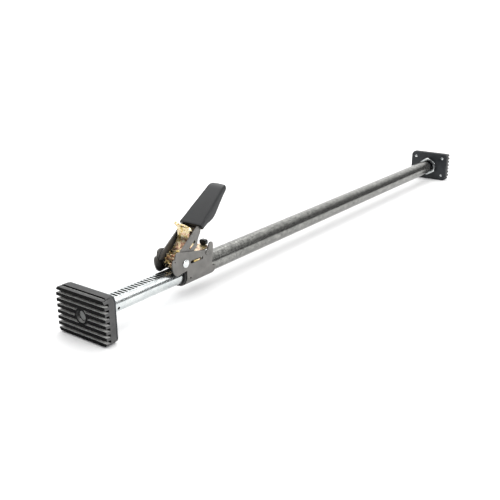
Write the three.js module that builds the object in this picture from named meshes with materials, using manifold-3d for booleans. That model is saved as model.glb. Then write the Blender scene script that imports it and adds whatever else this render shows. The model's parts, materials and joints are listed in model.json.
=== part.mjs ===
// A ratcheting cargo bar for a truck bed: two telescoping tubes with ribbed rubber feet,
// a rack on the inner tube, and a lever-driven ratchet that pushes the inner tube out.
// Millimetres. The bar is drawn with x along its length from the near foot's outer face,
// y across and z up from the tubes' axis. The exported group stands it on z = 0.
import * as THREE from "three";
import { mergeVertices } from "three/addons/utils/BufferGeometryUtils.js";
import Module from "manifold-3d";

const wasm = await Module();
wasm.setup();

// ---- Driving dimensions -------------------------------------------------------------

const GAP = 0.3; // clearance between neighbouring pieces
const TOTAL_LENGTH = 1139;

const FOOT = { width: 91.5, height: 65.7, corner: 9, thickness: 19.7, plate: 2.2 };
const RIB = { count: 8, pitch: 8.2, width: 4.6, depth: 7 };
const RECESS = { radius: 8.9, floor: 11 };
const FOOT_RIVET = { y: 33.7, z: 21, head: 3.2, shank: 1.6, depth: 8 };
const BOLT = { shank: 4, flats: 13, headFrom: 3.4, headTo: 8.8 };

const OUTER = { radius: 15.875, wall: 1.6, from: 184.7, to: 1090 };
const INNER = { radius: 13.9, wall: 2, length: 900, flat: 10.4, creaseZ: 3.3, creaseDepth: 0.6 };
const INNER_FROM = FOOT.thickness + GAP;
const INNER_BORE = INNER.radius - INNER.wall;
const BORE_FLAT = INNER.flat - INNER.wall;
const OUTER_BORE = OUTER.radius - OUTER.wall;
const MOUTH_CUT = { to: 197.5, z: 7.4 }; // the outer tube's top is cut away under the gear

const AXLE = { x: 182, z: 21.4, radius: 4.8, head: 6.75 };
const TEETH = 12;
const RACK_PITCH = 6.2;
const PITCH_RADIUS = (TEETH * RACK_PITCH) / (2 * Math.PI);
const TIP_RADIUS = PITCH_RADIUS + 1.45;
const ROOT_RADIUS = PITCH_RADIUS - 2.6;
const SLOT = { length: 3.7, halfWidth: 6.5, first: -23, last: 105 };
const GEAR_HALF_WIDTH = 6;
const HUB = { radius: 8, halfWidth: 11.2 };
const WHEEL = { from: 11.5, to: 13.2, root: 10.4 };

const HOUSING = { inside: 16.2, sheet: 2, wrapFrom: 184.7, wrapTo: 250.2 };
const HOUSING_OUTSIDE = HOUSING.inside + HOUSING.sheet;
const PAWL_SLOT = { from: 193, to: 221, z: 20, height: 4.5 };
const SPOT_HOLE = { x: 192.5, z: -3.9, radius: 1.5 };
const NOSE_HOLE = { x: 159.6, z: 29.6, radius: 1.2 };
const CROSS_PIN = { x: 230.8, z: 24.8, radius: 2.5, head: 3.9 };

const HANDLE_ANGLE = 36; // degrees above the bar as stored
const HANDLE = { inside: 13.8, sheet: 2, front: 20.5, lobe: 21, gripFrom: 55, gripTo: 139 };
const HANDLE_OUTSIDE = HANDLE.inside + HANDLE.sheet;
const TANG = { from: 50, to: 112, low: 12, high: 18.5 }; // the channel inside the grip
const GRIP_FRONT = 21.5;
const GRIP_PINS = [66, 102];
const GRIP_PIN = 1.5;
const GRIP_PIN_Z = 14.4;

const OUTER_ROUND = 48; // facets on the outer tube
const ROUND = 40;
const SMALL_ROUND = 20;

// ---- Materials ----------------------------------------------------------------------

const finish = (color, roughness, metalness) =>
  new THREE.MeshStandardMaterial({ color, roughness, metalness });
const RUBBER = () => finish(0x232425, 0.75, 0);
const BLACK_STEEL = () => finish(0x373c3f, 0.5, 0.4);
const HAMMERTONE = () => finish(0x55544f, 0.45, 0.5);
const BRIGHT_ZINC = () => finish(0xdfe4e4, 0.25, 1);
const YELLOW_ZINC = () => finish(0xc9a45a, 0.3, 1);
const DARK_STEEL = () => finish(0x696764, 0.45, 0.6);
const BLACK_PLASTIC = () => finish(0x17181a, 0.6, 0);
const GRIP_PLASTIC = () => finish(0x414446, 0.55, 0);
const SPRING_STEEL = () => finish(0x9a9a96, 0.35, 1);

// ---- Solids -------------------------------------------------------------------------

// A closed three.js geometry as a manifold solid, whichever way its faces are wound.
function solid(geometry) {
  const bare = geometry.clone();
  bare.deleteAttribute("normal");
  bare.deleteAttribute("uv");
  const merged = mergeVertices(bare, 1e-4);
  const vertProperties = new Float32Array(merged.attributes.position.array);
  const triVerts = new Uint32Array(merged.index.array);
  const made = new wasm.Manifold(new wasm.Mesh({ numProp: 3, vertProperties, triVerts }));
  if (made.volume() > 0) return made;
  const turned = triVerts.map((_, i) => triVerts[i - (i % 3) + 2 - (i % 3)]);
  return new wasm.Manifold(new wasm.Mesh({ numProp: 3, vertProperties, triVerts: turned }));
}

function geometryOf(made) {
  const mesh = made.getMesh();
  return new THREE.BufferGeometry()
    .setAttribute("position", new THREE.BufferAttribute(mesh.vertProperties, 3))
    .setIndex(new THREE.BufferAttribute(mesh.triVerts, 1));
}

const join = (...solids) => solids.reduce((a, b) => a.add(b));
const cut = (from, ...tools) => tools.reduce((a, b) => a.subtract(b), from);

// Axes of an extrusion: the outline's two directions, then the direction it is drawn along.
const [X, Y, Z] = [
  new THREE.Vector3(1, 0, 0),
  new THREE.Vector3(0, 1, 0),
  new THREE.Vector3(0, 0, 1),
];
const DRAWN_ALONG = {
  x: new THREE.Matrix4().makeBasis(Y, Z, X), // outline in (y, z)
  y: new THREE.Matrix4().makeBasis(X, Z, Y.clone().negate()), // outline in (x, z)
  z: new THREE.Matrix4().makeBasis(X, Y, Z), // outline in (x, y)
};

// An outline drawn along an axis from one coordinate to another.
function prism(shape, axis, from, to, curveSegments = 6) {
  const outline = Array.isArray(shape)
    ? new THREE.Shape(shape.map(([a, b]) => new THREE.Vector2(a, b)))
    : shape;
  const geometry = new THREE.ExtrudeGeometry(outline, {
    depth: to - from,
    bevelEnabled: false,
    curveSegments,
  });
  geometry.applyMatrix4(DRAWN_ALONG[axis]);
  const shift = { x: [from, 0, 0], y: [0, to, 0], z: [0, 0, from] }[axis];
  return solid(geometry.translate(...shift));
}

const box = (x0, x1, y0, y1, z0, z1) =>
  prism([[x0, y0], [x1, y0], [x1, y1], [x0, y1]], "z", z0, z1);

// A turned profile of [radius, distance] pairs round an axis through (a, b).
function turned(profile, axis, a = 0, b = 0, facets = SMALL_ROUND) {
  const points = profile.map(([radius, along]) => new THREE.Vector2(radius, along));
  const geometry = new THREE.LatheGeometry(points, facets);
  if (axis === "x") geometry.rotateZ(-Math.PI / 2).translate(0, a, b);
  if (axis === "y") geometry.translate(a, 0, b);
  if (axis === "z") geometry.rotateX(Math.PI / 2).translate(a, b, 0);
  return solid(geometry);
}

const rod = (radius, axis, from, to, a = 0, b = 0, facets = SMALL_ROUND) =>
  turned([[0, from], [radius, from], [radius, to], [0, to]], axis, a, b, facets);

const tube = (outside, inside, from, to, facets = ROUND) =>
  turned([
    [inside, from], [outside, from], [outside, to], [inside, to], [inside, from],
  ], "x", 0, 0, facets);

const hexPoints = (flats) =>
  [0, 1, 2, 3, 4, 5].map((i) => {
    const angle = ((i + 0.5) * Math.PI) / 3;
    const radius = flats / 2 / Math.cos(Math.PI / 6);
    return [radius * Math.cos(angle), radius * Math.sin(angle)];
  });

// A rectangle centred on the origin with rounded corners.
function roundedRectangle(width, height, radius) {
  const [w, h] = [width / 2, height / 2];
  const shape = new THREE.Shape();
  shape.moveTo(-w + radius, -h);
  shape.lineTo(w - radius, -h);
  shape.absarc(w - radius, -h + radius, radius, -Math.PI / 2, 0);
  shape.lineTo(w, h - radius);
  shape.absarc(w - radius, h - radius, radius, 0, Math.PI / 2);
  shape.lineTo(-w + radius, h);
  shape.absarc(-w + radius, h - radius, radius, Math.PI / 2, Math.PI);
  shape.lineTo(-w, -h + radius);
  shape.absarc(-w + radius, -h + radius, radius, Math.PI, 1.5 * Math.PI);
  return shape;
}

// A coil spring along +x from the origin.
class Coil extends THREE.Curve {
  constructor(radius, length, turns) {
    super();
    Object.assign(this, { radius, length, turns });
  }
  getPoint(t) {
    const angle = 2 * Math.PI * this.turns * t;
    return new THREE.Vector3(
      this.length * t,
      this.radius * Math.cos(angle),
      this.radius * Math.sin(angle),
    );
  }
}

function coilSpring(radius, wire, length, turns) {
  const section = new THREE.Shape();
  section.absarc(0, 0, wire, 0, 2 * Math.PI);
  const extrudePath = new Coil(radius, length - 2 * wire, turns);
  const settings = { steps: turns * 9, curveSegments: 3, extrudePath, bevelEnabled: false };
  return solid(new THREE.ExtrudeGeometry(section, settings).translate(wire, 0, 0));
}

// A straight rivet: a domed head at `head` on the side that `out` (+1 or -1) names.
function rivet(axis, head, out, headRadius, shank, depth, a = 0, b = 0) {
  const at = (distance) => head + out * distance;
  const dome = [
    [0, at(1.5)],
    [headRadius * 0.55, at(1.25)],
    [headRadius * 0.9, at(0.6)],
    [headRadius, at(0)],
  ];
  const stem = [[shank, at(0)], [shank, at(-depth)], [0, at(-depth)]];
  return turned([...dome, ...stem], axis, a, b, 16);
}

// ---- The scene graph ----------------------------------------------------------------

const cargoBar = new THREE.Group();
const bar = new THREE.Group();
bar.position.set(-TOTAL_LENGTH / 2, 0, FOOT.height / 2);
cargoBar.add(bar);

function piece(parent, name, made, material) {
  const mesh = new THREE.Mesh(geometryOf(made), material);
  mesh.name = name;
  parent.add(mesh);
}

// ---- Feet ---------------------------------------------------------------------------

// The rubber pad, its ribbed face at x = 0 and its back against the steel plate.
function footPad() {
  const back = FOOT.thickness - FOOT.plate - GAP;
  const block = prism(roundedRectangle(FOOT.width, FOOT.height, FOOT.corner), "x", 0, back);
  const half = FOOT.width / 2 + 1;
  const edges = [-FOOT.height / 2 - 1];
  for (let i = 0; i < RIB.count; i++) {
    const middle = (i - (RIB.count - 1) / 2) * RIB.pitch;
    edges.push(middle - RIB.width / 2, middle + RIB.width / 2);
  }
  edges.push(FOOT.height / 2 + 1);
  const grooves = [];
  for (let i = 0; i < edges.length; i += 2) {
    grooves.push(box(-1, RIB.depth, -half, half, edges[i], edges[i + 1]));
  }
  const boss = rod(RECESS.radius + 2.5, "x", 0, back, 0, 0, 28);
  const recess = rod(RECESS.radius, "x", -1, RECESS.floor, 0, 0, 28);
  const boltHole = rod(BOLT.shank + 0.4, "x", -1, back + 1);
  const rivetHoles = footRivetPlaces().map(([y, z]) =>
    rod(FOOT_RIVET.shank + GAP, "x", FOOT.thickness - FOOT_RIVET.depth - 1, back + 1, y, z, 12));
  return cut(join(cut(block, ...grooves), boss), recess, boltHole, ...rivetHoles);
}

function footRivetPlaces() {
  const places = [];
  for (const y of [-FOOT_RIVET.y, FOOT_RIVET.y]) {
    for (const z of [-FOOT_RIVET.z, FOOT_RIVET.z]) places.push([y, z]);
  }
  return places;
}

function footPlate() {
  const from = FOOT.thickness - FOOT.plate;
  const outline = roundedRectangle(FOOT.width - 1.2, FOOT.height - 1.2, FOOT.corner - 0.6);
  const sheet = prism(outline, "x", from, FOOT.thickness);
  const holes = footRivetPlaces().map(([y, z]) =>
    rod(FOOT_RIVET.shank + GAP, "x", from - 1, FOOT.thickness + 1, y, z, 12));
  return cut(sheet, rod(BOLT.shank + 0.4, "x", from - 1, FOOT.thickness + 1), ...holes);
}

// A foot faces -x in its own group, so the far one is the same foot turned round.
function foot(side, group) {
  piece(group, side + "_foot_pad", footPad(), RUBBER());
  piece(group, side + "_foot_plate", footPlate(), BLACK_STEEL());
  footRivetPlaces().forEach(([y, z], i) => {
    const { head, shank, depth } = FOOT_RIVET;
    const made = rivet("x", FOOT.thickness + GAP, 1, head, shank, depth, y, z);
    piece(group, `${side}_foot_rivet_${i + 1}`, made, BRIGHT_ZINC());
  });
}

// The hex bolt the foot swivels on, with its head in the pad's recess.
function footBolt(side, group, tip) {
  const head = prism(hexPoints(BOLT.flats), "x", BOLT.headFrom, BOLT.headTo);
  const shank = rod(BOLT.shank, "x", BOLT.headTo - 1, tip);
  piece(group, side + "_foot_bolt", join(head, shank), BRIGHT_ZINC());
  const washer = tube(8.2, BOLT.shank + GAP, BOLT.headTo + GAP, RECESS.floor - GAP, 28);
  piece(group, side + "_foot_washer", washer, BRIGHT_ZINC());
}

const nearFoot = new THREE.Group();
const farFoot = new THREE.Group();
farFoot.position.x = TOTAL_LENGTH;
farFoot.rotation.z = Math.PI;
bar.add(nearFoot, farFoot);
foot("near", nearFoot);
foot("far", farFoot);

const NEAR_PLUG = { from: INNER_FROM + GAP, to: 64, pinX: 53, pinZ: -4, pinRadius: 1.9, pinHalf: 8.5 };
footBolt("near", nearFoot, NEAR_PLUG.pinX - 5);

// ---- Inner tube with its rack -------------------------------------------------------

// A round with its top sliced flat at a height and an optional crease down each side.
function flattedRound(radius, flat, creaseZ = null, depth = 0) {
  const top = Math.asin(flat / radius);
  const points = [];
  const arc = (from, to, count) => {
    for (let i = 0; i <= count; i++) {
      const angle = from + ((to - from) * i) / count;
      points.push([radius * Math.cos(angle), radius * Math.sin(angle)]);
    }
  };
  if (creaseZ === null) {
    arc(-Math.PI - top, top, ROUND);
    return points;
  }
  const middle = Math.asin(creaseZ / radius);
  const spread = 0.055;
  const [deepY, deepZ] = [(radius - depth) * Math.cos(middle), (radius - depth) * Math.sin(middle)];
  arc(-Math.PI - top, -Math.PI - middle - spread, 4);
  points.push([-deepY, deepZ]);
  arc(-Math.PI - middle + spread, middle - spread, ROUND - 8);
  points.push([deepY, deepZ]);
  arc(middle + spread, top, 4);
  return points;
}

function innerTube() {
  const to = INNER_FROM + INNER.length;
  const section = flattedRound(INNER.radius, INNER.flat, INNER.creaseZ, INNER.creaseDepth);
  const outside = prism(section, "x", INNER_FROM, to);
  const inside = prism(flattedRound(INNER_BORE, BORE_FLAT), "x", INNER_FROM - 1, to + 1);
  const slots = [];
  for (let i = SLOT.first; i <= SLOT.last; i++) {
    const middle = AXLE.x + i * RACK_PITCH;
    slots.push(box(middle - SLOT.length / 2, middle + SLOT.length / 2,
      -SLOT.halfWidth, SLOT.halfWidth, BORE_FLAT - 1, INNER.flat + 1));
  }
  const pinHole = rod(NEAR_PLUG.pinRadius + GAP, "y", -20, 20, NEAR_PLUG.pinX, NEAR_PLUG.pinZ, 16);
  return cut(outside, inside, join(...slots), pinHole);
}

piece(bar, "inner_tube", innerTube(), BRIGHT_ZINC());

// The threaded plug pinned into the inner tube's near end.
const nearPlug = cut(
  prism(flattedRound(INNER_BORE - GAP, BORE_FLAT - GAP), "x", NEAR_PLUG.from, NEAR_PLUG.to),
  rod(BOLT.shank + GAP, "x", 0, NEAR_PLUG.pinX - 4),
  rod(NEAR_PLUG.pinRadius + GAP, "y", -20, 20, NEAR_PLUG.pinX, NEAR_PLUG.pinZ, 16),
);
piece(bar, "inner_tube_plug", nearPlug, BRIGHT_ZINC());
const plugPin = rod(NEAR_PLUG.pinRadius, "y", -NEAR_PLUG.pinHalf, NEAR_PLUG.pinHalf,
  NEAR_PLUG.pinX, NEAR_PLUG.pinZ, 16);
piece(bar, "plug_pin", plugPin, SPRING_STEEL());

const tailFrom = INNER_FROM + INNER.length;
const tailPlug = join(
  prism(flattedRound(INNER_BORE - GAP, BORE_FLAT - GAP), "x", tailFrom - 18, tailFrom + 1),
  prism(flattedRound(INNER.radius, INNER.flat), "x", tailFrom + GAP, tailFrom + 4),
);
piece(bar, "inner_tube_tail_cap", tailPlug, BLACK_PLASTIC());

// ---- Outer tube ---------------------------------------------------------------------

const mouthCut = box(0, MOUTH_CUT.to, -20, 20, MOUTH_CUT.z, 30);
const HOUSING_RIVET = { places: [206, 240], head: 4, shank: 2, hole: 2.3, depth: 3.9 };
const bottomHoles = (radius) =>
  HOUSING_RIVET.places.map((x) => rod(radius, "z", -20, -10, x, 0, 16));
const outerTube = cut(
  tube(OUTER.radius, OUTER_BORE, OUTER.from, OUTER.to, OUTER_ROUND),
  mouthCut,
  ...bottomHoles(HOUSING_RIVET.hole),
);
piece(bar, "outer_tube", outerTube, HAMMERTONE());

const COLLAR = { radius: 16.8, from: OUTER.from - 3.7, to: OUTER.from - GAP };
const collar = tube(COLLAR.radius, INNER.radius + GAP, COLLAR.from, COLLAR.to, OUTER_ROUND);
piece(bar, "guide_collar", cut(collar, mouthCut), BLACK_PLASTIC());

// The far end: a plug in the tube, the bolt screwed into it and a cupped lock nut.
const FAR_PLUG = { from: 1062, neck: 10, neckTo: 1113 };
const farPlug = join(
  rod(OUTER_BORE - GAP, "x", FAR_PLUG.from, OUTER.to + 1, 0, 0, ROUND),
  rod(OUTER.radius - 0.5, "x", OUTER.to + GAP, OUTER.to + 3, 0, 0, ROUND),
  rod(FAR_PLUG.neck, "x", OUTER.to, FAR_PLUG.neckTo, 0, 0, 24),
);
piece(bar, "outer_tube_plug", cut(farPlug, rod(BOLT.shank + GAP, "x", 1078, 1120)), BLACK_STEEL());
footBolt("far", farFoot, TOTAL_LENGTH - 1082);
const NUT = {
  flats: 37.5, corner: 21.4, face: 18.6, chamfer: 2, from: 20.3, to: 30.3, cup: 14.5, cupFloor: 23.5,
};
const nut = cut(
  turned([
    [0, NUT.from], [NUT.face, NUT.from], [NUT.corner, NUT.from + NUT.chamfer],
    [NUT.corner, NUT.to - NUT.chamfer], [NUT.face, NUT.to], [0, NUT.to],
  ], "x", 0, 0, ROUND).intersect(prism(hexPoints(NUT.flats), "x", NUT.from - 1, NUT.to + 1)),
  rod(NUT.cup, "x", NUT.cupFloor, NUT.to + 1, 0, 0, 28),
  rod(BOLT.shank + GAP, "x", NUT.from - 1, NUT.to),
);
piece(farFoot, "far_foot_nut", nut, BRIGHT_ZINC());

// ---- Ratchet housing ----------------------------------------------------------------

// One side of the housing seen from the side, nose at the left and release ear at the right.
function housingSide() {
  const side = new THREE.Shape();
  side.moveTo(HOUSING.wrapFrom, -1);
  side.lineTo(HOUSING.wrapFrom, 9.6);
  side.lineTo(165.5, 7.2);
  side.quadraticCurveTo(160, 7.2, 156.6, 14);
  side.quadraticCurveTo(153.9, 20, 153.9, 26.1);
  side.quadraticCurveTo(153.9, 31, 157, 32);
  side.lineTo(160, 32.8);
  side.quadraticCurveTo(160.4, 42, 167.3, 42);
  side.lineTo(173.6, 40.6);
  side.lineTo(194.8, 36.3);
  side.lineTo(232.7, 28.2);
  side.lineTo(234.6, 35);
  side.quadraticCurveTo(236, 39.4, 240, 39.4);
  side.quadraticCurveTo(244.5, 39.2, 244.5, 34.5);
  side.lineTo(244.5, 29.3);
  side.lineTo(242.9, 18.5);
  side.lineTo(241, 2.5);
  side.lineTo(247, -1);
  return side;
}

function halfRing(outside, inside) {
  const shape = new THREE.Shape();
  shape.absarc(0, 0, outside, -Math.PI, 0);
  shape.lineTo(inside, 0);
  shape.absarc(0, 0, inside, 0, -Math.PI, true);
  return shape;
}

// A slot with round ends along x, drawn through both sides.
function longSlot(from, to, z, height, reach) {
  const radius = height / 2;
  const shape = new THREE.Shape();
  shape.absarc(to - radius, z, radius, -Math.PI / 2, Math.PI / 2);
  shape.absarc(from + radius, z, radius, Math.PI / 2, 1.5 * Math.PI);
  return prism(shape, "y", -reach, reach, 6);
}

function housing() {
  const ring = halfRing(HOUSING_OUTSIDE, HOUSING.inside);
  const wrap = prism(ring, "x", HOUSING.wrapFrom, HOUSING.wrapTo, 12);
  const sides = [
    prism(housingSide(), "y", HOUSING.inside, HOUSING_OUTSIDE, 4),
    prism(housingSide(), "y", -HOUSING_OUTSIDE, -HOUSING.inside, 4),
  ];
  const across = (radius, x, z) => rod(radius, "y", -30, 30, x, z, 20);
  return cut(
    join(wrap, ...sides),
    across(AXLE.radius + GAP, AXLE.x, AXLE.z),
    across(CROSS_PIN.radius + GAP, CROSS_PIN.x, CROSS_PIN.z),
    across(SPOT_HOLE.radius, SPOT_HOLE.x, SPOT_HOLE.z),
    across(NOSE_HOLE.radius, NOSE_HOLE.x, NOSE_HOLE.z),
    longSlot(PAWL_SLOT.from, PAWL_SLOT.to, PAWL_SLOT.z, PAWL_SLOT.height, 30),
    ...bottomHoles(HOUSING_RIVET.hole),
  );
}

piece(bar, "ratchet_housing", housing(), DARK_STEEL());
HOUSING_RIVET.places.forEach((x, i) => {
  const { head, shank, depth } = HOUSING_RIVET;
  const made = rivet("z", -HOUSING_OUTSIDE - GAP, -1, head, shank, depth, x, 0);
  piece(bar, `housing_rivet_${i + 1}`, made, BRIGHT_ZINC());
});

// A pin through both sides, peened into a head at each end.
function peenedPin(radius, head, x, z) {
  const face = HOUSING_OUTSIDE + GAP;
  return turned([
    [0, -face - 1.9], [head * 0.6, -face - 1.7], [head * 0.92, -face - 1], [head, -face],
    [radius, -face], [radius, face],
    [head, face], [head * 0.92, face + 1], [head * 0.6, face + 1.7], [0, face + 1.9],
  ], "y", x, z, 24);
}

piece(bar, "axle", peenedPin(AXLE.radius, AXLE.head, AXLE.x, AXLE.z), BRIGHT_ZINC());
const crossPin = peenedPin(CROSS_PIN.radius, CROSS_PIN.head, CROSS_PIN.x, CROSS_PIN.z);
piece(bar, "housing_cross_pin", crossPin, DARK_STEEL());

// ---- Pinion and ratchet wheels ------------------------------------------------------

// Repeats a tooth's [radius, angle in radians] points round the axle.
function toothed(teeth, tooth) {
  const points = [];
  for (let i = 0; i < teeth; i++) {
    const turn = (2 * Math.PI * i) / teeth - Math.PI / 2;
    for (const [radius, angle] of tooth) {
      points.push([radius * Math.cos(turn + angle), radius * Math.sin(turn + angle)]);
    }
  }
  return points;
}

const gear = new THREE.Group();
gear.position.set(AXLE.x, 0, AXLE.z);
bar.add(gear);
const axleBore = rod(AXLE.radius + GAP, "y", -40, 40);

const FLANK = [[ROOT_RADIUS, 1.6], [PITCH_RADIUS, 1.15], [TIP_RADIUS, 0.6]];
const pinionTooth = [
  ...FLANK.map(([radius, half]) => [radius, -half / radius]),
  ...FLANK.toReversed().map(([radius, half]) => [radius, half / radius]),
];
const pinion = cut(
  join(
    prism(toothed(TEETH, pinionTooth), "y", -GEAR_HALF_WIDTH, GEAR_HALF_WIDTH),
    rod(HUB.radius, "y", -HUB.halfWidth, HUB.halfWidth, 0, 0, 24),
  ),
  axleBore,
);
piece(gear, "pinion", pinion, YELLOW_ZINC());

const degrees = Math.PI / 180;
const ratchetTooth = [
  [TIP_RADIUS, -3 * degrees],
  [TIP_RADIUS, 2 * degrees],
  [WHEEL.root, 20 * degrees],
  [WHEEL.root, 25 * degrees],
];
for (const [side, from, to] of [["near", -WHEEL.to, -WHEEL.from], ["far", WHEEL.from, WHEEL.to]]) {
  const wheel = cut(prism(toothed(TEETH, ratchetTooth), "y", from, to), axleBore);
  piece(gear, `ratchet_wheel_${side}`, wheel, YELLOW_ZINC());
}

// ---- Lock pawl in the housing -------------------------------------------------------

// A stepped plate: its toe and side lugs lie at the slots, its deck above the cross pin.
const LOCK = {
  low: 18.6, sheet: 2.4, half: 13.4, lugFrom: 200.5, lugTo: 213.5, stepTo: 215.6,
  deck: 27.9, taper: 238, rear: 245.5, tabHalf: 4.6, cornerHalf: 6, tabTop: 37.4,
};
const lockToe = AXLE.x + TIP_RADIUS + GAP;
const lockLug = HOUSING_OUTSIDE + GAP;
const stepFrom = LOCK.stepTo - LOCK.sheet;
const deckOutline = [
  [stepFrom, -LOCK.half], [LOCK.taper, -LOCK.half], [LOCK.rear, -LOCK.cornerHalf],
  [LOCK.rear, LOCK.cornerHalf], [LOCK.taper, LOCK.half], [stepFrom, LOCK.half],
];
const lockPawl = join(
  box(lockToe, LOCK.stepTo, -LOCK.half, LOCK.half, LOCK.low, LOCK.low + LOCK.sheet),
  box(LOCK.lugFrom, LOCK.lugTo, -lockLug, lockLug, LOCK.low, LOCK.low + LOCK.sheet),
  box(stepFrom, LOCK.stepTo, -LOCK.half, LOCK.half, LOCK.low, LOCK.deck + LOCK.sheet),
  prism(deckOutline, "z", LOCK.deck, LOCK.deck + LOCK.sheet),
  box(LOCK.rear - LOCK.sheet, LOCK.rear, -LOCK.tabHalf, LOCK.tabHalf, LOCK.deck, LOCK.tabTop),
);
piece(bar, "lock_pawl", lockPawl, YELLOW_ZINC());

const TAB_CAP = { low: 30.7, top: 38.6, half: 6.2, corner: 3.4, over: 1.6 };
const capHeight = TAB_CAP.top - TAB_CAP.low;
const capOutline = roundedRectangle(2 * TAB_CAP.half, capHeight, TAB_CAP.corner);
const capFrom = LOCK.rear - LOCK.sheet - TAB_CAP.over;
const pocketHalf = LOCK.tabHalf + GAP;
const tabCap = cut(
  prism(capOutline, "x", capFrom, LOCK.rear + TAB_CAP.over, 5)
    .translate([0, 0, TAB_CAP.low + capHeight / 2]),
  box(LOCK.rear - LOCK.sheet - GAP, LOCK.rear + GAP, -pocketHalf, pocketHalf, 20, LOCK.tabTop + GAP),
);
piece(bar, "release_tab_cap", tabCap, GRIP_PLASTIC());

// The clip on the cross pin that the lock pawl's spring pushes against.
const SEAT = { from: 225.4, to: 227, half: 4, z: LOCK.low + LOCK.sheet / 2 };
const springSeat = cut(
  join(
    box(SEAT.from, SEAT.to, -SEAT.half, SEAT.half, 17, CROSS_PIN.z),
    box(SEAT.from, CROSS_PIN.x, -SEAT.half, SEAT.half, CROSS_PIN.z - 1.5, CROSS_PIN.z),
    rod(CROSS_PIN.radius + 1.7, "y", -SEAT.half, SEAT.half, CROSS_PIN.x, CROSS_PIN.z - 1.5, 20),
  ),
  rod(CROSS_PIN.radius + GAP, "y", -30, 30, CROSS_PIN.x, CROSS_PIN.z, 20),
);
piece(bar, "lock_spring_seat", springSeat, DARK_STEEL());

const lockSpring = coilSpring(1.9, 0.45, SEAT.from - LOCK.stepTo - 2 * GAP, 5)
  .translate([LOCK.stepTo + GAP, 0, SEAT.z]);
piece(bar, "lock_pawl_spring", lockSpring, SPRING_STEEL());

// ---- Handle -------------------------------------------------------------------------

// In the handle's own group x runs along the lever from the axle and z is its front.
const handle = new THREE.Group();
handle.position.set(AXLE.x, 0, AXLE.z);
handle.rotation.y = -HANDLE_ANGLE * degrees;
bar.add(handle);

const PAWL = {
  low: 6.4, high: 9.2, half: 13.4, top: 44.5, lip: 3, lugFrom: 22, lugTo: 31, travel: 3.5,
};
const PAWL_WINDOW = { from: 26, to: 39.8, half: 4 };
const PAWL_SEAT = { from: 37.4, to: 39.2 };

// One cheek: a cam lobe round the axle, the open arm, then the tang that the grip covers.
function handleCheek() {
  const cheek = new THREE.Shape();
  const lobeEnd = 131 * degrees;
  cheek.absarc(0, 0, TIP_RADIUS, lobeEnd, 2 * Math.PI - 8 * degrees);
  cheek.lineTo(34.6, -1.8);
  cheek.lineTo(41, 4.4);
  cheek.lineTo(TANG.from + 3, 9.5);
  cheek.lineTo(TANG.from + 5, TANG.low);
  cheek.lineTo(TANG.to, TANG.low);
  cheek.lineTo(TANG.to, TANG.high);
  cheek.lineTo(TANG.from + 5, TANG.high);
  cheek.lineTo(TANG.from + 3, HANDLE.front);
  cheek.lineTo(4, HANDLE.front);
  cheek.absarc(0, 0, HANDLE.lobe, 78 * degrees, lobeEnd);
  return cheek;
}

function handleFrame() {
  const cheeks = [
    prism(handleCheek(), "y", HANDLE.inside, HANDLE_OUTSIDE, 12),
    prism(handleCheek(), "y", -HANDLE_OUTSIDE, -HANDLE.inside, 12),
  ];
  const webLow = TANG.high - HANDLE.sheet;
  const web = box(TANG.from + 5, TANG.to, -HANDLE_OUTSIDE, HANDLE_OUTSIDE, webLow, TANG.high);
  const bridge = box(35.5, 40.5, -HANDLE_OUTSIDE, HANDLE_OUTSIDE, 3.4, 5.5);
  const rearWeb = prism([
    [48.6, 7.6], [53, 9.5], [TANG.from + 5, TANG.low], [57, TANG.low],
    [57, 14], [54, 13.8], [51.8, 11.4], [48.6, 9.9],
  ], "y", -HANDLE_OUTSIDE, HANDLE_OUTSIDE);
  const seat = box(PAWL_SEAT.from, PAWL_SEAT.to, -3.2, 3.2, 5, 11);
  const pawlSlots = longSlot(PAWL.lugFrom - 2, PAWL.lugTo + PAWL.travel + 2,
    (PAWL.low + PAWL.high) / 2, PAWL.high - PAWL.low + 0.8, 30);
  const gripHoles = GRIP_PINS.map((x) => rod(GRIP_PIN + GAP, "y", -30, 30, x, GRIP_PIN_Z, 16));
  return cut(join(...cheeks, web, rearWeb, bridge, seat), axleBore, pawlSlots, ...gripHoles);
}

piece(handle, "handle_frame", handleFrame(), DARK_STEEL());

// The grip from the side: flat front, and a back that bulges for the fingers.
function gripSide() {
  const side = new THREE.Shape();
  side.moveTo(HANDLE.gripFrom, 11.1);
  const back = [[68.6, 8], [78, 4.6], [85.5, 3.3], [94, 3.9], [102, 5.3], [116, 7.8], [130, 10]];
  side.splineThru(back.map(([a, b]) => new THREE.Vector2(a, b)));
  side.quadraticCurveTo(HANDLE.gripTo, 11.2, HANDLE.gripTo, 16);
  side.quadraticCurveTo(HANDLE.gripTo, GRIP_FRONT, 133, GRIP_FRONT);
  side.lineTo(HANDLE.gripFrom, GRIP_FRONT);
  return side;
}

// The grip from the front: flared at the root, tapering to a rounded tip.
function gripFront() {
  const half = [[HANDLE.gripFrom, 21], [60, 20.8], [68, 20], [76, 19.8], [83, 19.6], [125, 15.9]];
  const front = new THREE.Shape();
  front.moveTo(...half[0]);
  half.slice(1).forEach(([a, b]) => front.lineTo(a, b));
  front.quadraticCurveTo(HANDLE.gripTo, 14.6, HANDLE.gripTo, 6);
  front.lineTo(HANDLE.gripTo, -6);
  front.quadraticCurveTo(HANDLE.gripTo, -14.6, 125, -15.9);
  half.toReversed().slice(1).forEach(([a, b]) => front.lineTo(a, -b));
  return front;
}

function grip() {
  const outside = prism(gripSide(), "y", -30, 30, 5).intersect(prism(gripFront(), "z", 0, 30, 5));
  const half = HANDLE_OUTSIDE + GAP;
  const socket = box(TANG.from, TANG.to + GAP, -half, half, TANG.low - GAP, TANG.high + GAP);
  const pinHoles = GRIP_PINS.map((x) => rod(GRIP_PIN + GAP, "y", -30, 30, x, GRIP_PIN_Z, 16));
  return cut(outside, socket, ...pinHoles);
}

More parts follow.
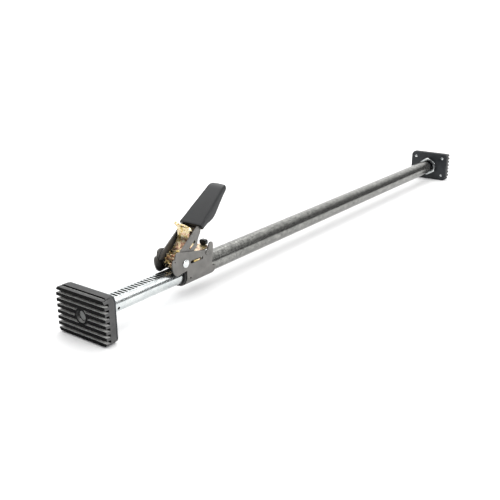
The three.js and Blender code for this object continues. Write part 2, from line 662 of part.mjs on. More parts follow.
piece(handle, "handle_grip", grip(), GRIP_PLASTIC());
GRIP_PINS.forEach((x, i) => {
  const pin = rod(GRIP_PIN, "y", -HANDLE_OUTSIDE - 1, HANDLE_OUTSIDE + 1, x, GRIP_PIN_Z, 16);
  piece(handle, `grip_pin_${i + 1}`, pin, SPRING_STEEL());
});

// ---- Drive pawl in the handle -------------------------------------------------------

// The finger scoop seen from the side: a thin sheet that sweeps up from the plate to the lip.
function scoop() {
  const under = [[14, PAWL.high - 0.6], [22, 10], [30, 13], [37, 19], [42.5, 27.5]];
  const side = new THREE.Shape();
  side.moveTo(...under[0]);
  side.splineThru(under.slice(1).map(([a, b]) => new THREE.Vector2(a, b)));
  side.lineTo(42.5, 30);
  side.splineThru([[36, 20.8], [29.3, 14.8], [21.8, 11.7], [14, PAWL.high + 1]]
    .map(([a, b]) => new THREE.Vector2(a, b)));
  return prism(side, "y", -11.4, 11.4, 3);
}

// The lip across the handle, arched for the fingers, with a thumb tab at its far end.
function lip() {
  const outline = new THREE.Shape();
  outline.moveTo(-12.4, PAWL.low);
  outline.lineTo(12.4, PAWL.low);
  outline.lineTo(13.2, 24);
  outline.lineTo(15, 31);
  outline.quadraticCurveTo(15.2, 35.4, 12.5, 35.4);
  outline.quadraticCurveTo(9.6, 35.4, 9, 31.6);
  outline.quadraticCurveTo(-1, 33.5, -7.5, 29);
  outline.quadraticCurveTo(-12.4, 25, -12.4, 15);
  return prism(outline, "x", PAWL.top - PAWL.lip, PAWL.top, 5);
}

function drivePawl() {
  const reach = TIP_RADIUS + GAP;
  const plate = cut(
    box(4, PAWL.top, -PAWL.half, PAWL.half, PAWL.low, PAWL.high),
    rod(reach, "y", -20, 20, 0, 0, 48),
    box(PAWL_WINDOW.from, PAWL_WINDOW.to, -PAWL_WINDOW.half, PAWL_WINDOW.half, 0, PAWL.high + 1),
  );
  const lugs = [-1, 1].map((way) => {
    const [inner, outer] = [way * 10, way * (HANDLE_OUTSIDE - 0.1)];
    const [left, right] = [Math.min(inner, outer), Math.max(inner, outer)];
    return box(PAWL.lugFrom, PAWL.lugTo, left, right, PAWL.low, PAWL.high);
  });
  return join(plate, ...lugs, lip(), scoop());
}

piece(handle, "drive_pawl", drivePawl(), YELLOW_ZINC());
const driveSpringLength = PAWL_SEAT.from - PAWL_WINDOW.from - 2 * GAP;
const driveSpring = coilSpring(1.9, 0.45, driveSpringLength, 4)
  .translate([PAWL_WINDOW.from + GAP, 0, (PAWL.low + PAWL.high) / 2]);
piece(handle, "drive_pawl_spring", driveSpring, SPRING_STEEL());

export default cargoBar;
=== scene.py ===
"""A ratcheting cargo bar's looks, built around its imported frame. Metres, +Z up."""
import json
import math

import bmesh
import bpy
import numpy as np
from mathutils import Matrix, Vector


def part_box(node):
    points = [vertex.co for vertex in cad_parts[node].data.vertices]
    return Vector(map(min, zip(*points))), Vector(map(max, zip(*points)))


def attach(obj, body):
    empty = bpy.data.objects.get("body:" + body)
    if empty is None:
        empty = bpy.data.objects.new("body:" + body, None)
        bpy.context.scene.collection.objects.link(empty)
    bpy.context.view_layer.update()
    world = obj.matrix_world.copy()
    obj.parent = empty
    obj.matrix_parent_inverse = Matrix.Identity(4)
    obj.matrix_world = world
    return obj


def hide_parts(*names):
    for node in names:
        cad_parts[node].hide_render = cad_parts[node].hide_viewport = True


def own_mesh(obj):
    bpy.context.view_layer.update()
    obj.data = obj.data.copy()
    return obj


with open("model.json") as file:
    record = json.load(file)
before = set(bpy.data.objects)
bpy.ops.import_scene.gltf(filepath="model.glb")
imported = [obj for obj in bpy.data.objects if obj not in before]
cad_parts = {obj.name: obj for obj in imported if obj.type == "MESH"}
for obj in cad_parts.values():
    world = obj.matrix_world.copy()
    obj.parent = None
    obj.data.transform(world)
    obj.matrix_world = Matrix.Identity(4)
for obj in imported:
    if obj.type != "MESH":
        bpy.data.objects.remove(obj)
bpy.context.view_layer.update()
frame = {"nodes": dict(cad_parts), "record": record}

RECORD = frame["record"]
BODY_OF = {n: b for b, nodes in RECORD["behaviour"]["bodies"].items() for n in nodes}
SLOT_OF = {part["node"]: part["material_slot"] for part in RECORD["subparts"]}

MM = 0.001
X, Y, Z = Vector((1, 0, 0)), Vector((0, 1, 0)), Vector((0, 0, 1))


def middle(node):
    low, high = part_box(node)
    return (low + high) / 2


# The handle's own frame: it starts on the axle, ALONG runs up the lever, and FRONT is square to
# the lever, out of the grip's front.
AXLE = middle("axle")
HANDLE_ANGLE = math.radians(36)
ALONG = Vector((math.cos(HANDLE_ANGLE), 0, math.sin(HANDLE_ANGLE)))
FRONT = Vector((-math.sin(HANDLE_ANGLE), 0, math.cos(HANDLE_ANGLE)))
HANDLE_FRAME = Matrix((
    (ALONG.x, 0, FRONT.x, AXLE.x),
    (0, 1, 0, 0),
    (ALONG.z, 0, FRONT.z, AXLE.z),
    (0, 0, 0, 1),
))


# ---- Materials ------------------------------------------------------------------------

def srgb(red, green, blue):
    """A colour given as it looks on a screen, 0 to 255, as the shader's linear colour."""
    linear = [((c / 255 + 0.055) / 1.055) ** 2.4 if c > 10 else c / 3295 for c in (red, green, blue)]
    return (*linear, 1)


# Mesh attributes that the finishes read.
EDGE_MARK = "rounded_edge"
PAINTED_SHADE_MARK = "painted_recess_shade"


class Finish:
    """One material, with short calls for the nodes that the finishes share."""

    def __init__(self, name, metallic=0.0, specular=0.5):
        self.material = bpy.data.materials.new(name)
        self.material.use_nodes = True
        self.tree = self.material.node_tree
        self.shader = self.tree.nodes["Principled BSDF"]
        self.shader.inputs["Metallic"].default_value = metallic
        self.shader.inputs["Specular IOR Level"].default_value = specular
        self.place = self.add("ShaderNodeTexCoord").outputs["Object"]
        self.normal = None

    def add(self, kind, **settings):
        node = self.tree.nodes.new(kind)
        for key, value in settings.items():
            setattr(node, key, value)
        return node

    def link(self, output, socket):
        self.tree.links.new(output, socket)

    def stretched(self, stretch):
        mapping = self.add("ShaderNodeMapping")
        mapping.inputs["Scale"].default_value = stretch
        self.link(self.place, mapping.inputs["Vector"])
        return mapping.outputs["Vector"]

    def noise(self, size, detail=3, stretch=(1, 1, 1), distortion=0.0):
        """Cloudy noise whose features are about size metres across."""
        node = self.add("ShaderNodeTexNoise")
        self.link(self.stretched(stretch), node.inputs["Vector"])
        node.inputs["Scale"].default_value = 1 / size
        node.inputs["Detail"].default_value = detail
        node.inputs["Distortion"].default_value = distortion
        return node.outputs["Fac"]

    def cells(self, size):
        """Distance from the middle of round cells about size metres across."""
        node = self.add("ShaderNodeTexVoronoi", feature="SMOOTH_F1")
        self.link(self.place, node.inputs["Vector"])
        node.inputs["Scale"].default_value = 1 / size
        node.inputs["Smoothness"].default_value = 0.6
        return node.outputs["Distance"]

    def ramp(self, factor, *stops):
        node = self.add("ShaderNodeValToRGB")
        elements = node.color_ramp.elements
        while len(elements) < len(stops):
            elements.new(0.5)
        for element, (position, colour) in zip(elements, stops):
            element.position = position
            element.color = colour
        self.link(factor, node.inputs["Fac"])
        return node.outputs["Color"]

    def mixed(self, factor, first, second):
        """A blend of two colours or two colour outputs."""
        node = self.add("ShaderNodeMix", data_type="RGBA")
        self.link(factor, node.inputs["Factor"])
        for value, socket in ((first, node.inputs["A"]), (second, node.inputs["B"])):
            if isinstance(value, tuple):
                socket.default_value = value
            else:
                self.link(value, socket)
        return node.outputs["Result"]

    def span(self, factor, low, high, start=0.3, end=0.7):
        """A number that goes from low to high as the factor goes from start to end."""
        node = self.add("ShaderNodeMapRange")
        node.inputs["From Min"].default_value = start
        node.inputs["From Max"].default_value = end
        node.inputs["To Min"].default_value = low
        node.inputs["To Max"].default_value = high
        self.link(factor, node.inputs["Value"])
        return node.outputs["Result"]

    def times(self, first, second):
        node = self.add("ShaderNodeMath", operation="MULTIPLY")
        self.link(first, node.inputs[0])
        self.link(second, node.inputs[1])
        return node.outputs["Value"]

    def worn(self, most):
        """Up to most on a piece's rounded edges, broken up by a fine noise, and 0 elsewhere."""
        edge = self.add("ShaderNodeAttribute", attribute_name=EDGE_MARK).outputs["Fac"]
        return self.times(edge, self.span(self.noise(5 * MM, 5), 0.15 * most, most, 0.4, 0.62))

    def facing(self, axis):
        """How far a surface faces along the X, Y or Z axis, from -1 to 1."""
        split = self.add("ShaderNodeSeparateXYZ")
        self.link(self.add("ShaderNodeNewGeometry").outputs["Normal"], split.inputs["Vector"])
        return split.outputs[axis]

    def off_the_face(self):
        """1 where a surface faces away from the bar's ends, and 0 where it faces them."""
        size = self.add("ShaderNodeMath", operation="ABSOLUTE")
        self.link(self.facing("X"), size.inputs[0])
        return self.span(size.outputs["Value"], 1, 0, 0.25, 0.6)

    def sheltered(self, reach=14 * MM, closed=0.1, open_air=0.75):
        """Near 1 deep between neighbouring parts, and 0 where a surface faces open air: ambient
        occlusion, which the finishes turn into painted shade, and on the rubber into painted light.
        """
        node = self.add("ShaderNodeAmbientOcclusion", samples=6)
        node.inputs["Distance"].default_value = reach
        return self.span(node.outputs["AO"], 1, 0, closed, open_air)

    def colour(self, value):
        self.link(value, self.shader.inputs["Base Color"])

    def roughness(self, value):
        self.link(value, self.shader.inputs["Roughness"])

    def bump(self, height, depth, strength=1.0):
        """Adds a relief that is depth metres deep."""
        node = self.add("ShaderNodeBump")
        node.inputs["Strength"].default_value = strength
        node.inputs["Distance"].default_value = depth
        self.link(height, node.inputs["Height"])
        if self.normal is not None:
            self.link(self.normal, node.inputs["Normal"])
        self.normal = node.outputs["Normal"]
        self.link(self.normal, self.shader.inputs["Normal"])


def hammertone():
    """Grey hammered enamel: shallow round dimples, dark in their seams, silver on their crowns."""
    f = Finish("hammertone_enamel", metallic=0.9)
    dimples = f.cells(3.2 * MM)
    cloud = f.noise(10 * MM, 4)
    light = f.ramp(cloud, (0.35, srgb(122, 122, 119)), (0.65, srgb(146, 146, 142)))
    f.colour(f.mixed(f.span(dimples, 0, 0.6, 0.4, 0.85), light, srgb(66, 66, 64)))
    f.roughness(f.span(f.noise(3 * MM), 0.18, 0.27))
    f.bump(dimples, 0.14 * MM, 0.3)
    return f


def bright_zinc():
    """Bright zinc plate: drawn along its length, a little cloudy, with painted shade darkening its
    corners.
    """
    f = Finish("bright_zinc_plate", metallic=0.95)
    drawn = f.noise(1.2 * MM, 5, stretch=(0.04, 1, 1))
    cloud = f.noise(14 * MM, 4, distortion=0.6)
    pale = f.ramp(cloud, (0.3, srgb(198, 203, 204)), (0.7, srgb(222, 225, 224)))
    streaked = f.mixed(f.span(drawn, 0, 0.35, 0.45, 0.7), pale, srgb(160, 165, 167))
    # Painted shade: the zinc turns near black deep between neighbouring parts, where shade falls.
    painted_shade = f.mixed(f.sheltered(14 * MM, 0.45, 0.97), streaked, srgb(40, 39, 37))
    # Painted shade: a piece marked with it is painted dark grey all over, as the bolt deep in the near
    # foot's recess is.
    recess_shade = f.add("ShaderNodeAttribute", attribute_name=PAINTED_SHADE_MARK).outputs["Fac"]
    f.colour(f.mixed(recess_shade, painted_shade, srgb(62, 62, 60)))
    f.roughness(f.span(f.noise(5 * MM, 5), 0.16, 0.28))
    f.bump(drawn, 0.03 * MM, 0.4)
    return f


def yellow_zinc():
    """Yellow chromate on zinc, drifting through gold, peach and a little green, with painted shade close
    between parts.
    """
    f = Finish("yellow_zinc_plate", metallic=0.9)
    drift = f.noise(11 * MM, 3, distortion=1.2)
    rainbow = f.ramp(
        drift,
        (0.28, srgb(150, 124, 58)),
        (0.40, srgb(200, 174, 108)),
        (0.50, srgb(232, 222, 188)),
        (0.58, srgb(208, 164, 132)),
        (0.66, srgb(100, 64, 66)),
        (0.78, srgb(168, 162, 100)),
    )
    scuffs = f.noise(2 * MM, 5)
    # Painted shade: the plate turns dark brown close between neighbouring parts, such as the flanks
    # inside the handle's cheeks.
    painted_shade = f.mixed(f.sheltered(5 * MM), rainbow, srgb(66, 48, 38))
    stained = f.mixed(f.span(scuffs, 0, 0.4, 0.5, 0.75), painted_shade, srgb(120, 92, 50))
    f.colour(f.mixed(f.worn(0.7), stained, srgb(240, 230, 196)))
    f.roughness(f.span(f.noise(6 * MM, 4), 0.2, 0.36))
    f.bump(scuffs, 0.05 * MM, 0.4)
    return f


def coated_steel(name, dark, light, rubbed, metallic, grain):
    """A thin satin coat on sheet steel: fine grain, faint clouds, edges rubbed brighter, and painted
    shade deep between parts.
    """
    f = Finish(name, metallic=metallic, specular=0.4)
    cloud = f.noise(16 * MM, 5, distortion=0.4)
    coat = f.ramp(cloud, (0.3, dark), (0.7, light))
    # Painted shade: the coat turns near black deep between neighbouring parts, such as the far cheek of
    # the housing.
    painted_shade = f.mixed(f.sheltered(36 * MM, 0.2, 0.62), coat, srgb(16, 15, 14))
    f.colour(f.mixed(f.worn(0.6), painted_shade, rubbed))
    f.roughness(f.span(f.noise(3 * MM, 5), 0.34, 0.5))
    f.bump(f.noise(grain, 4), 0.04 * MM, 0.4)
    return f


def dark_steel():
    dark, light, rubbed = srgb(96, 95, 92), srgb(114, 112, 109), srgb(168, 166, 160)
    return coated_steel("grey_coated_steel", dark, light, rubbed, 0.3, 0.6 * MM)


def black_steel():
    dark, light, rubbed = srgb(36, 39, 42), srgb(48, 51, 54), srgb(104, 106, 108)
    return coated_steel("black_coated_steel", dark, light, rubbed, 0.1, 0.8 * MM)


def rubber():
    """Moulded black rubber: black on the faces towards the bar's ends, painted light grey elsewhere as if
    lit from the side and above, and painted paler still on up-facing faces deep in its grooves.
    """
    f = Finish("foot_rubber", specular=0.04)
    bloom = f.noise(12 * MM, 6, distortion=0.5)
    body = f.ramp(bloom, (0.35, srgb(6, 6, 7)), (0.7, srgb(12, 12, 13)))
    # Painted light: the grey that the rubber's sides and tops take, standing for light falling on them
    # from the side and above.
    lit_grey = f.ramp(bloom, (0.3, srgb(74, 74, 74)), (0.7, srgb(90, 90, 90)))
    # Painted light: up-facing faces deep in the grooves are painted near white, standing for light on the
    # rib tops that the grooves shut out.
    groove_light_mask = f.times(f.sheltered(6 * MM, 0.35, 0.9), f.span(f.facing("Z"), 0, 1, 0.2, 0.8))
    painted_light = f.mixed(groove_light_mask, lit_grey, srgb(226, 226, 223))
    # Painted light: faces away from the bar's ends take the lit grey, and faces towards them stay black,
    # as if shaded.
    f.colour(f.mixed(f.off_the_face(), body, painted_light))
    f.roughness(f.span(bloom, 0.4, 0.55))
    f.bump(f.noise(0.8 * MM, 4), 0.05 * MM, 0.3)
    return f


def black_plastic():
    """Plain moulded black plastic, faintly mottled."""
    f = Finish("black_moulded_plastic", specular=0.4)
    cloud = f.noise(8 * MM, 4)
    f.colour(f.ramp(cloud, (0.35, srgb(12, 12, 13)), (0.7, srgb(24, 24, 25))))
    f.roughness(f.span(cloud, 0.34, 0.5))
    f.bump(f.noise(0.6 * MM, 3), 0.04 * MM, 0.35)
    return f


def grip_plastic():
    """Dark grey moulded plastic with a fine leather grain, polished a little by hands."""
    f = Finish("grip_moulded_plastic", specular=0.4)
    handled = f.noise(24 * MM, 4, distortion=0.4)
    body = f.ramp(handled, (0.3, srgb(16, 18, 20)), (0.7, srgb(26, 28, 30)))
    f.colour(f.mixed(f.worn(0.5), body, srgb(96, 98, 99)))
    f.roughness(f.span(handled, 0.28, 0.42))
    f.bump(f.cells(0.9 * MM), 0.05 * MM, 0.3)
    return f


def spring_steel():
    """Bright drawn wire."""
    f = Finish("spring_wire", metallic=1.0)
    drawn = f.noise(0.6 * MM, 4)
    f.colour(f.ramp(drawn, (0.3, srgb(140, 140, 136)), (0.7, srgb(186, 186, 182))))
    f.roughness(f.span(drawn, 0.22, 0.36))
    f.bump(drawn, 0.02 * MM, 0.4)
    return f


FINISHES = {
    "hammertone_tube": hammertone,
    "bright_zinc": bright_zinc,
    "yellow_zinc": yellow_zinc,
    "dark_steel": dark_steel,
    "black_steel": black_steel,
    "rubber": rubber,
    "black_plastic": black_plastic,
    "grip_plastic": grip_plastic,
    "spring_steel": spring_steel,
}
MATERIALS = {slot: make().material for slot, make in FINISHES.items()}


# ---- Meshes ---------------------------------------------------------------------------

SMOOTH_ANGLE = math.radians(32)
COIL_SMOOTH_ANGLE = math.radians(60)
FLAT_ANGLE = math.radians(0.5)
WELD = 0.002 * MM
BEVEL_SEGMENTS = 3


def linked(name, mesh):
    piece = bpy.data.objects.new(name, mesh)
    bpy.context.scene.collection.objects.link(piece)
    return piece


def mesh_from(name, vertices, faces):
    mesh = bpy.data.meshes.new(name)
    mesh.from_pydata([tuple(v) for v in vertices], [], faces)
    work = bmesh.new()
    work.from_mesh(mesh)
    bmesh.ops.recalc_face_normals(work, faces=work.faces)
    work.to_mesh(mesh)
    work.free()
    return mesh


def apply_modifiers(piece):
    graph = bpy.context.evaluated_depsgraph_get()
    mesh = bpy.data.meshes.new_from_object(piece.evaluated_get(graph))
    piece.modifiers.clear()
    piece.data = mesh


def mark_edges(mesh):
    """Stores 1 on the corners of the faces that a bevel has added, and 0 on the others."""
    added = np.zeros(len(mesh.polygons), np.int32)
    mesh.polygons.foreach_get("material_index", added)
    corners = np.zeros(len(mesh.polygons), np.int32)
    mesh.polygons.foreach_get("loop_total", corners)
    mark = mesh.attributes.new(EDGE_MARK, "FLOAT", "CORNER")
    mark.data.foreach_set("value", np.repeat(added, corners).astype(np.float32))
    mesh.polygons.foreach_set("material_index", np.zeros_like(added))


def rounded(piece, width, clamped):
    """Rounds the sharp edges of a piece, and shades it smoothly between them."""
    bevel = piece.modifiers.new("bevel", "BEVEL")
    bevel.use_clamp_overlap = clamped
    bevel.width = width
    bevel.segments = BEVEL_SEGMENTS
    bevel.limit_method = "ANGLE"
    bevel.angle_limit = SMOOTH_ANGLE
    bevel.material = 1
    piece.data.materials.clear()
    piece.data.materials.append(None)
    piece.data.materials.append(None)
    apply_modifiers(piece)
    mark_edges(piece.data)
    piece.data.shade_smooth()
    piece.data.set_sharp_from_angle(angle=SMOOTH_ANGLE)
    piece.modifiers.new("normals", "WEIGHTED_NORMAL").keep_sharp = True
    apply_modifiers(piece)


def stands_for(piece, *nodes):
    """The piece takes the finish and the body of the CAD nodes that it replaces."""
    slot = SLOT_OF[nodes[0]]
    piece.data.materials.clear()
    piece.data.materials.append(MATERIALS[slot])
    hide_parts(*nodes)
    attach(piece, BODY_OF[nodes[0]])
    return piece


def finished(node, width, clamped):
    """A CAD solid with its flat faces made whole and its edges rounded."""
    mesh = frame["nodes"][node].data.copy()
    work = bmesh.new()
    work.from_mesh(mesh)
    bmesh.ops.remove_doubles(work, verts=work.verts, dist=WELD)
    bmesh.ops.dissolve_limit(work, angle_limit=FLAT_ANGLE, verts=work.verts, edges=work.edges)
    work.to_mesh(mesh)
    work.free()
    piece = linked(node + "_finished", mesh)
    rounded(piece, width, clamped)
    return stands_for(piece, node)


def paint_shade_over(piece, amount):
    """Paints a whole piece darker as painted shade, from 0 for none to 1 for all over."""
    recess_shade = piece.data.attributes.new(PAINTED_SHADE_MARK, "FLOAT", "CORNER")
    recess_shade.data.foreach_set("value", np.full(len(piece.data.loops), amount, np.float32))


def loft(name, rings):
    """A closed skin over rings of points that all have the same count."""
    count = len(rings[0])
    vertices = [point for ring in rings for point in ring]
    faces = [list(range(count)), list(range(len(vertices) - count, len(vertices)))]
    for start in range(0, len(vertices) - count, count):
        for i in range(count):
            j = (i + 1) % count
            faces.append((start + i, start + j, start + count + j, start + count + i))
    return linked(name, mesh_from(name, vertices, faces))


def cut_away(piece, tool):
    """Cuts the tool's solid out of the piece, and removes the tool."""
    difference = piece.modifiers.new("cut", "BOOLEAN")
    difference.operation = "DIFFERENCE"
    difference.solver = "EXACT"
    difference.object = tool
    apply_modifiers(piece)
    bpy.data.objects.remove(tool)


# The grip in the handle's own frame, in millimetres: along the lever, and front to back.
GRIP = {"root": 55, "shoulder": 125, "tip": 139, "front": 21.5}
GRIP_HALVES = ((55, 21.8), (61, 21.3), (68, 20.4), (76, 19.9), (83, 19.5), (104, 17.7), (125, 15.9))
GRIP_BACKS = ((55, 11.1), (68.6, 8), (78, 4.6), (85.5, 3.3), (94, 3.9), (102, 5.3), (116, 7.8), (130, 10))
GRIP_FRONT_CORNER = 2.6
GRIP_BACK_CORNER = 5.2
GRIP_CROWN = 0.5
GRIP_ROOT_ROUNDING = 0.9
GRIP_TIP = {"narrows": 6, "front drops": 4.4, "back rises": 3.6, "squareness": 3, "bluntness": 0.45}
GRIP_STEPS = {"straight": 30, "tip": 9, "corner": 8, "flat": 8}
SOCKET = {"from": 50, "to": 112.3, "half": 16.1, "low": 11.7, "high": 18.8}


def eased(table, along):
    """Reads a table of [along, value] rows with a smooth curve through its rows."""
    xs, ys = np.array(table).T
    slopes = np.gradient(ys, xs)
    i = int(np.clip(np.searchsorted(xs, along) - 1, 0, len(xs) - 2))
    step = xs[i + 1] - xs[i]
    t = min(max((along - xs[i]) / step, 0), 1)
    first = (1 + 2 * t) * (1 - t) ** 2 * ys[i] + t * (1 - t) ** 2 * step * slopes[i]
    second = t * t * (3 - 2 * t) * ys[i + 1] + t * t * (t - 1) * step * slopes[i + 1]
    return float(first + second)


def grip_ring(along, inset=0.0):
    """The grip's outline across the lever: a rounded box with a slightly crowned front."""
    into_tip = max(0.0, (along - GRIP["shoulder"]) / (GRIP["tip"] - GRIP["shoulder"]))
    closing = 1 - max(0.0, 1 - into_tip ** GRIP_TIP["squareness"]) ** GRIP_TIP["bluntness"]
    half = eased(GRIP_HALVES, along) - GRIP_TIP["narrows"] * closing - inset
    front = GRIP["front"] - GRIP_TIP["front drops"] * closing - inset
    back = eased(GRIP_BACKS, along) + GRIP_TIP["back rises"] * closing + inset
    deep, middle_n = (front - back) / 2, (front + back) / 2
    ring = []
    for turn in range(4):
        y_way, n_way = ((1, 1), (-1, 1), (-1, -1), (1, -1))[turn]
        corner = min(GRIP_FRONT_CORNER if n_way > 0 else GRIP_BACK_CORNER, deep * 0.95)
        for step in range(GRIP_STEPS["corner"] + 1):
            angle = math.radians(90 * turn + 90 * step / GRIP_STEPS["corner"])
            y = y_way * (half - corner) + corner * math.cos(angle)
            n = n_way * (deep - corner) + corner * math.sin(angle)
            ring.append((y, n))
        if turn in (0, 2):
            y0, n0 = ring[-1]
            flat = GRIP_STEPS["flat"]
            ring += [(y0 * (1 - 2 * step / flat), n0) for step in range(1, flat)]
    points = []
    for y, n in ring:
        crown = GRIP_CROWN * (y / half) ** 2 if n > 0 else 0
        points.append(HANDLE_FRAME @ Vector((along * MM, y * MM, (middle_n + n - crown) * MM)))
    return points


def grip():
    """The moulded grip, with the pocket that the handle's tang fills."""
    root, shoulder, tip = GRIP["root"], GRIP["shoulder"], GRIP["tip"] - GRIP["shoulder"]
    third = GRIP_ROOT_ROUNDING / 3
    rings = [grip_ring(root, GRIP_ROOT_ROUNDING), grip_ring(root + third, third)]
    for along in np.linspace(root + GRIP_ROOT_ROUNDING, shoulder, GRIP_STEPS["straight"]):
        rings.append(grip_ring(along))
    for step in range(1, GRIP_STEPS["tip"] + 1):
        into_tip = math.sin(math.pi / 2 * step / GRIP_STEPS["tip"])
        rings.append(grip_ring(shoulder + tip * into_tip))
    piece = loft("handle_grip_moulding", rings)
    corners = []
    for along in (SOCKET["from"], SOCKET["to"]):
        for y, n in ((-1, "low"), (1, "low"), (1, "high"), (-1, "high")):
            place = Vector((along * MM, y * SOCKET["half"] * MM, SOCKET[n] * MM))
            corners.append(HANDLE_FRAME @ place)
    cut_away(piece, loft("socket_tool", [corners[:4], corners[4:]]))
    piece.data.shade_smooth()
    piece.data.set_sharp_from_angle(angle=SMOOTH_ANGLE)
    return stands_for(piece, "handle_grip")


# Both return springs are wound from the same wire.
SPRING = {"coil": 1.9 * MM, "wire": 0.45 * MM}
SPRING_STEPS = {"turn": 26, "wire": 12}


def spring(node, direction, turns):
    """A coil of round wire that fills its CAD node's length."""
    coil, wire = SPRING["coil"], SPRING["wire"]
    centre = middle(node)
    reach = [(v.co - centre).dot(direction) for v in frame["nodes"][node].data.vertices]
    start, length = min(reach) + wire, max(reach) - min(reach) - 2 * wire
    side = Y
    up = direction.cross(side)
    rings = []
    total = turns * SPRING_STEPS["turn"]
    for step in range(total + 1):
        angle = 2 * math.pi * step / SPRING_STEPS["turn"]
        radial = side * math.cos(angle) + up * math.sin(angle)
        tangent = (up * math.cos(angle) - side * math.sin(angle)).normalized()
        at = centre + direction * (start + length * step / total) + radial * coil
        normal = tangent.cross(radial)
        ring = []
        for k in range(SPRING_STEPS["wire"]):
            spin = 2 * math.pi * k / SPRING_STEPS["wire"]
            ring.append(at + (radial * math.cos(spin) + normal * math.sin(spin)) * wire)
        rings.append(ring)
    piece = loft(node + "_wire", rings)
    piece.data.shade_smooth()
    piece.data.set_sharp_from_angle(angle=COIL_SMOOTH_ANGLE)
    stands_for(piece, node)
    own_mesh(piece)


# How far each piece's edges are rounded, in millimetres.
EDGE = {
    "outer_tube": 0.35,
    "guide_collar": 0.5,
    "outer_tube_plug": 0.8,
    "ratchet_housing": 0.55,
    "housing_rivet_1": 0.3,
    "housing_rivet_2": 0.3,
    "axle": 0.5,
    "housing_cross_pin": 0.4,
    "lock_spring_seat": 0.3,
    "far_foot_bolt": 0.5,
    "far_foot_washer": 0.3,
    "far_foot_nut": 0.6,
    "inner_tube": 0.3,
    "inner_tube_plug": 0.5,
    "plug_pin": 0.3,
    "inner_tube_tail_cap": 0.6,
    "near_foot_bolt": 0.5,
    "near_foot_washer": 0.3,
    "pinion": 0.25,
    "ratchet_wheel_near": 0.25,
    "ratchet_wheel_far": 0.25,
    "handle_frame": 0.45,
    "grip_pin_1": 0.3,
    "grip_pin_2": 0.3,
    "drive_pawl": 0.5,
    "lock_pawl": 0.4,
    "release_tab_cap": 0.9,
}
for side in ("near", "far"):
    EDGE[side + "_foot_pad"] = 0.8
    EDGE[side + "_foot_plate"] = 0.5
    for i in (1, 2, 3, 4):
        EDGE[f"{side}_foot_rivet_{i}"] = 0.3

# The pads' rounding may overlap at the ends of their grooves.
for node, width in EDGE.items():
    piece = finished(node, width * MM, clamped=not node.endswith("_foot_pad"))
    # The near foot's bolt sits deep in the pad's recess, so it is painted dark as painted shade.
    if node == "near_foot_bolt":
        paint_shade_over(piece, 0.85)
grip()
spring("drive_pawl_spring", ALONG, 4)
spring("lock_pawl_spring", X, 5)


# ---- Studio ---------------------------------------------------------------------------

CAMERA_PLACE = Vector((-1.0896, -0.6480, 0.3992))
CAMERA_YAW = math.radians(36.248)
CAMERA_PITCH = math.radians(19.058)
CAMERA_ROLL = math.radians(-0.075)
FOCAL_IN_FRAMES = 691.9 / 500
SENSOR = 36
VIEW_REACH = 60
OVERHEAD = (0.4, 0.72)  # the sine of the heights between which the sky turns white
BACKDROP = (0.52, 0.78)  # the cosine of the angle from straight behind the bar
SKY_STRENGTH = 1.5
DIM_SKY = (0.05, 0.05, 0.052, 1)
WHITE_SKY = (1, 1, 1, 1)
FLOOR_RINGS = (0.6, 2, 5, 14)
FLOOR_SIDES = 96
# Each lamp's place, the point it faces, its width and height, and its power in watts.
SOFTBOXES = {
    "key": ((-0.1, -2.7, 1.1), (-0.3, 0, 0.05), (1.6, 0.9), 46),
    "top": ((1.0, 1.2, 2.4), (0, 0, 0), (2.6, 1.6), 26),
    "glint": ((1.15, -1.6, 1.3), (-0.47, 0, 0.03), (0.5, 1.1), 4),
}


def camera():
    """A camera at the photo's place, found by fitting the bar's edges to it."""
    level = math.cos(CAMERA_PITCH)
    forward = Vector((
        math.cos(CAMERA_YAW) * level,
        math.sin(CAMERA_YAW) * level,
        -math.sin(CAMERA_PITCH),
    ))
    right = forward.cross(Z).normalized()
    up = right.cross(forward)
    turn = Matrix.Rotation(-CAMERA_ROLL, 3, forward)
    axes = Matrix((turn @ right, turn @ up, -forward)).transposed()
    data = bpy.data.cameras.new("camera")
    data.sensor_width = SENSOR
    data.lens = SENSOR * FOCAL_IN_FRAMES
    data.clip_end = VIEW_REACH
    view = linked("camera", data)
    view.matrix_world = Matrix.Translation(CAMERA_PLACE) @ axes.to_4x4()
    bpy.context.scene.camera = view


def softbox(name, place, target, size, power):
    """A wide soft lamp that faces its target."""
    data = bpy.data.lights.new(name, "AREA")
    data.shape = "RECTANGLE"
    data.size, data.size_y = size
    data.energy = power
    light = linked(name, data)
    light.location = place
    light.rotation_euler = (Vector(target) - Vector(place)).to_track_quat("-Z", "Y").to_euler()


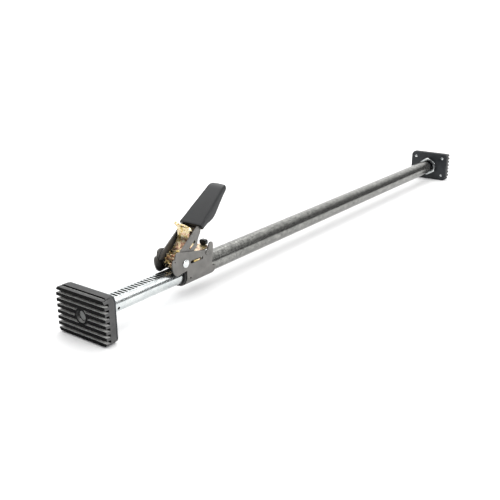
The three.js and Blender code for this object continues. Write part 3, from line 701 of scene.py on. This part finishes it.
def floor():
    """A wide disc of pale matt paper under the bar."""
    around = FLOOR_SIDES
    vertices = [Vector((0, 0, 0))]
    for radius in FLOOR_RINGS:
        for i in range(around):
            angle = 2 * math.pi * i / around
            vertices.append(Vector((radius * math.cos(angle), radius * math.sin(angle), 0)))
    faces = [(0, 1 + i, 1 + (i + 1) % around) for i in range(around)]
    for ring in range(len(FLOOR_RINGS) - 1):
        first, second = 1 + ring * around, 1 + (ring + 1) * around
        for i in range(around):
            j = (i + 1) % around
            faces.append((first + i, second + i, second + j, first + j))
    paper = linked("studio_floor", mesh_from("studio_floor", vertices, faces))
    f = Finish("pale_paper", specular=0.1)
    f.colour(f.ramp(f.noise(0.4, 2), (0.3, srgb(248, 248, 248)), (0.7, srgb(252, 252, 252))))
    f.roughness(f.span(f.noise(0.3, 2), 0.85, 0.95))
    paper.data.materials.append(f.material)


def surroundings():
    """A studio's light: white above and behind the bar, and dim around the other sides."""
    world = bpy.data.worlds.new("studio")
    bpy.context.scene.world = world
    world.use_nodes = True
    nodes, links = world.node_tree.nodes, world.node_tree.links

    def step(factor, start, end):
        node = nodes.new("ShaderNodeMapRange")
        node.interpolation_type = "SMOOTHSTEP"
        node.inputs["From Min"].default_value = start
        node.inputs["From Max"].default_value = end
        links.new(factor, node.inputs["Value"])
        return node.outputs["Result"]

    direction = nodes.new("ShaderNodeTexCoord").outputs["Generated"]
    split = nodes.new("ShaderNodeSeparateXYZ")
    links.new(direction, split.inputs["Vector"])
    overhead = step(split.outputs["Z"], *OVERHEAD)
    towards = nodes.new("ShaderNodeVectorMath")
    towards.operation = "DOT_PRODUCT"
    towards.inputs[1].default_value = (math.cos(CAMERA_YAW), math.sin(CAMERA_YAW), 0)
    links.new(direction, towards.inputs[0])
    backdrop = step(towards.outputs["Value"], *BACKDROP)
    brighter = nodes.new("ShaderNodeMath")
    brighter.operation = "MAXIMUM"
    links.new(overhead, brighter.inputs[0])
    links.new(backdrop, brighter.inputs[1])
    seen = nodes.new("ShaderNodeMath")
    seen.operation = "MAXIMUM"
    links.new(brighter.outputs["Value"], seen.inputs[0])
    links.new(nodes.new("ShaderNodeLightPath").outputs["Is Camera Ray"], seen.inputs[1])
    ramp = nodes.new("ShaderNodeValToRGB")
    links.new(seen.outputs["Value"], ramp.inputs["Fac"])
    dim, bright = ramp.color_ramp.elements
    dim.color = DIM_SKY
    bright.color = WHITE_SKY
    background = nodes["Background"]
    links.new(ramp.outputs["Color"], background.inputs["Color"])
    background.inputs["Strength"].default_value = SKY_STRENGTH


camera()
floor()
surroundings()
for name, settings in SOFTBOXES.items():
    softbox(name, *settings)
bpy.context.scene.view_settings.view_transform = "Standard"
